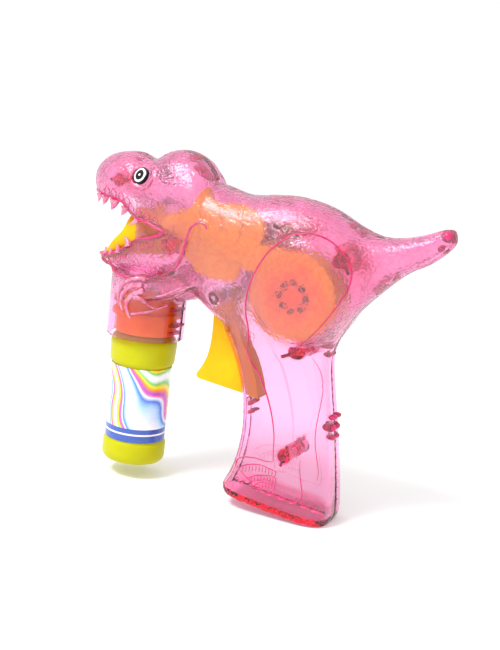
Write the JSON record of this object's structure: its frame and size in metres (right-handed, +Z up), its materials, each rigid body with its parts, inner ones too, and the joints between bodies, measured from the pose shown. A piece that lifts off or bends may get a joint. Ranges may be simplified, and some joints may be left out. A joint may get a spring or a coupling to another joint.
{
  "type": "bubble blower",
  "caption": "Hand-held dinosaur bubble blower: clear moulded shell, trigger-driven gears and fan, squeeze pump, bubble nozzle in the jaws and a screw-on liquid bottle.",
  "frame": {"origin": "centre of the bounding box in X and Y, at the lowest point of the grip foot", "axes": "+Z up with the bottle upright, -X towards the snout and +X towards the tail, -Y is the toy's left side"},
  "size_m": [0.212, 0.06, 0.1899],
  "materials": {
    "clear_pink": "translucent, pebbled on the body and clear on the grip",
    "yellow_plastic": "satin moulded",
    "orange_plastic": "satin moulded",
    "white_plastic": "satin acetal",
    "steel": "bright zinc",
    "eye_white": "printed dome",
    "silicone": "milky silicone",
    "lime_bottle": "blow-moulded satin",
    "label_film": "printed shrink film"
  },
  "bodies": {
    "housing": {"left_shell": "clear_pink", "right_shell": "clear_pink", "screw_nose": "steel", "screw_cheek": "steel", "screw_haunch_top": "steel", "screw_haunch_rear": "steel", "screw_haunch_low": "steel", "screw_grip": "steel", "left_eye": "eye_white", "right_eye": "eye_white", "trigger_pin": "steel", "trigger_spring": "steel", "gearbox_inner_plate": "yellow_plastic", "gearbox_outer_plate": "yellow_plastic", "gear_one_axle": "steel", "gear_two_axle": "steel", "pump_axle": "steel", "fan_housing_left": "orange_plastic", "fan_housing_right": "orange_plastic", "air_duct": "yellow_plastic", "nozzle_barrel": "yellow_plastic", "bubble_ring": "orange_plastic", "drip_tray": "yellow_plastic", "pump_track": "yellow_plastic", "feed_tube": "silicone", "bottle_socket": "orange_plastic", "sealing_washer": "silicone"},
    "trigger": {"trigger": "yellow_plastic"},
    "gear_one": {"gear_one": "white_plastic"},
    "gear_two": {"gear_two": "white_plastic"},
    "fan": {"fan_pinion": "white_plastic", "impeller": "white_plastic", "fan_shaft": "steel"},
    "pump": {"pump_gear": "white_plastic", "pump_rotor": "white_plastic", "pump_roller_1": "steel", "pump_roller_2": "steel", "pump_roller_3": "steel"},
    "wiper": {"film_wiper": "white_plastic"},
    "bottle": {"bottle": "lime_bottle", "bottle_label": "label_film"}
  },
  "joints": [
    {"name": "trigger_pull", "type": "hinge", "parent": "housing", "child": "trigger", "pos_m": [-0.017, 0, 0.1155], "axis": [0, -1, 0], "range_deg": [0, 16], "stiffness_Nm_per_rad": 0.5, "springref_deg": -20.05},
    {"name": "gear_one_spin", "type": "hinge", "parent": "housing", "child": "gear_one", "pos_m": [-0.00098, 0, 0.1425], "axis": [0, -1, 0], "range_deg": [-52, 2]},
    {"name": "gear_two_spin", "type": "hinge", "parent": "housing", "child": "gear_two", "pos_m": [0.00369, 0, 0.11907], "axis": [0, -1, 0], "range_deg": [-2, 144]},
    {"name": "fan_spin", "type": "hinge", "parent": "housing", "child": "fan", "pos_m": [0.026, 0, 0.123], "axis": [0, -1, 0], "range_deg": [-372, 4]},
    {"name": "pump_spin", "type": "hinge", "parent": "housing", "child": "pump", "pos_m": [-0.02527, 0, 0.136], "axis": [0, -1, 0], "range_deg": [-2, 121]},
    {"name": "wiper_spin", "type": "hinge", "parent": "housing", "child": "wiper", "pos_m": [-0.068, 0, 0.1415], "axis": [-1, 0, 0], "range_deg": [-2, 182]},
    {"name": "bottle_unscrew", "type": "slide", "parent": "housing", "child": "bottle", "axis": [0, 0, -1], "range_m": [0, 0.02]}
  ],
  "couplings": [
    {"joint": "gear_one_spin", "follows": "trigger_pull", "ratio": -3.1667},
    {"joint": "gear_two_spin", "follows": "trigger_pull", "ratio": 8.8667},
    {"joint": "fan_spin", "follows": "trigger_pull", "ratio": -23.053},
    {"joint": "pump_spin", "follows": "trigger_pull", "ratio": 7.3889},
    {"joint": "wiper_spin", "follows": "trigger_pull", "ratio": 11.25}
  ]
}
